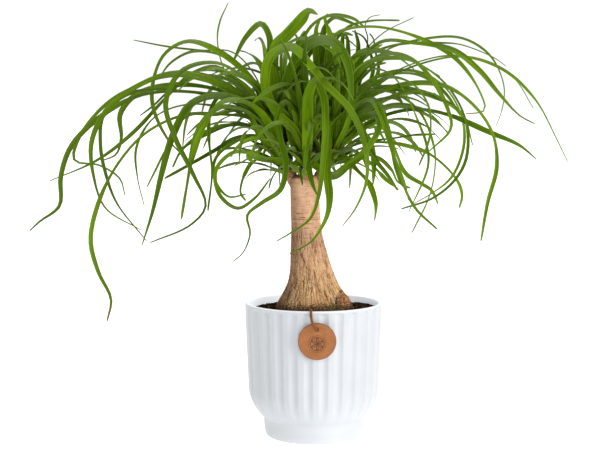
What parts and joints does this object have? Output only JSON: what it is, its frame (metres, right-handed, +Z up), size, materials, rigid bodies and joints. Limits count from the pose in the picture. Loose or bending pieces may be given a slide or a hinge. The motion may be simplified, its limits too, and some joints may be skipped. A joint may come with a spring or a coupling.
{
  "type": "potted ponytail palm",
  "caption": "Ponytail palm with a flaring corky trunk and long arching strap leaves, planted in a fluted round footed pot with a round leather tag hung over the rim.",
  "frame": {"origin": "middle of the pot's flat underside", "axes": "+Z up along the pot's axis, -Y to the front with the tag, +X to the right seen from the front, along the widest spread of the leaves"},
  "size_m": [0.5864, 0.4134, 0.4739],
  "materials": {
    "glaze": "white satin glaze, faintly cool, smooth",
    "soil": "dark brown moist potting soil, crumbly and matt",
    "bark": "tan corky bark with fine upright fissures and faint rings, matt",
    "leaf": "smooth strap leaf, fresh green, soft sheen",
    "leather": "tan vegetable-tanned leather, matt, tooled",
    "thong": "brown round leather cord, matt"
  },
  "bodies": {
    "root": {"pot": "glaze", "soil": "soil", "trunk": "bark", "head_left": "leaf", "head_middle": "leaf", "head_right": "leaf", "tag": "leather", "tag_cord": "thong"}
  },
  "joints": []
}
